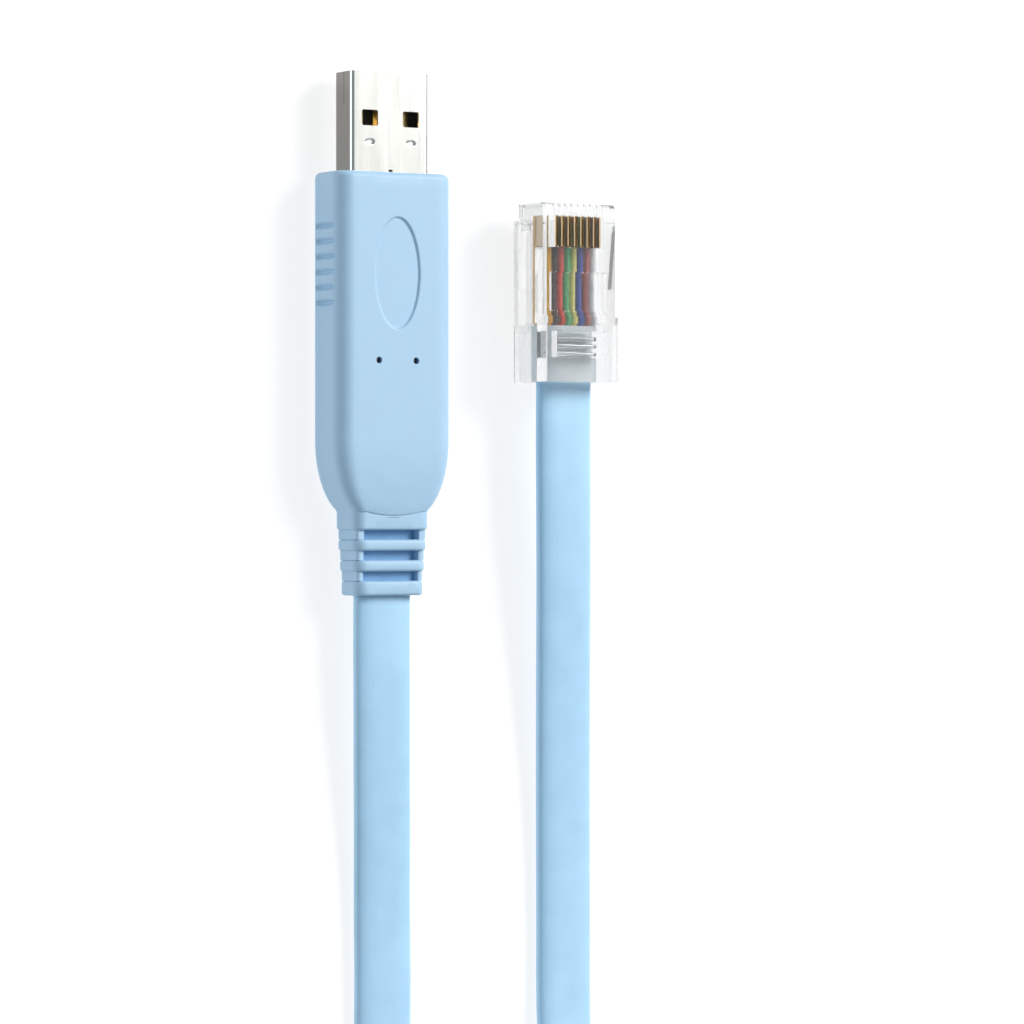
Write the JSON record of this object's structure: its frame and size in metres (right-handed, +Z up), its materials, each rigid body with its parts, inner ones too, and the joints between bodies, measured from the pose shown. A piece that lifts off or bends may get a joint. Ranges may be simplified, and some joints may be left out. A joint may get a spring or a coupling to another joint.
{
  "type": "usb to rj45 console cable",
  "caption": "Flat light blue cable with a moulded USB-A plug at one end and a clear 8-way RJ45 plug at the other, its spare length in a tied hank.",
  "frame": {"origin": "on the table, under the middle of the box round the two plugs", "axes": "+Z up from the table, +Y the way both plugs point, +X from the USB plug towards the RJ45 plug"},
  "size_m": [0.0682, 0.2941, 0.0193],
  "materials": {
    "plug_shell": "bright nickel plate on folded steel",
    "insulator": "black moulded plastic",
    "contact_gold": "gilt",
    "grip_blue": "smooth matt light blue overmould",
    "led_window": "dark light guide",
    "jacket_blue": "smooth flexible light blue jacket",
    "clear_housing": "clear moulded polycarbonate",
    "wire_orange": "conductor insulation",
    "wire_black": "conductor insulation",
    "wire_red": "conductor insulation",
    "wire_green": "conductor insulation",
    "wire_yellow": "conductor insulation",
    "wire_blue": "conductor insulation",
    "wire_brown": "conductor insulation",
    "wire_grey": "conductor insulation",
    "tie_black": "woven hook and loop strap"
  },
  "bodies": {
    "root": {"usb_shell": "plug_shell", "usb_tongue": "insulator", "usb_contact_1": "contact_gold", "usb_contact_2": "contact_gold", "usb_contact_3": "contact_gold", "usb_contact_4": "contact_gold", "usb_overmold": "grip_blue", "status_led_1": "led_window", "status_led_2": "led_window", "cable_run_usb": "jacket_blue", "cable_hank": "jacket_blue", "cable_run_rj45": "jacket_blue", "hank_tie_left": "tie_black", "hank_tie_right": "tie_black", "rj45_housing": "clear_housing", "rj45_contact_1": "contact_gold", "rj45_contact_2": "contact_gold", "rj45_contact_3": "contact_gold", "rj45_contact_4": "contact_gold", "rj45_contact_5": "contact_gold", "rj45_contact_6": "contact_gold", "rj45_contact_7": "contact_gold", "rj45_contact_8": "contact_gold", "conductor_1_orange": "wire_orange", "conductor_2_black": "wire_black", "conductor_3_red": "wire_red", "conductor_4_green": "wire_green", "conductor_5_yellow": "wire_yellow", "conductor_6_blue": "wire_blue", "conductor_7_brown": "wire_brown", "conductor_8_grey": "wire_grey"}
  },
  "joints": []
}
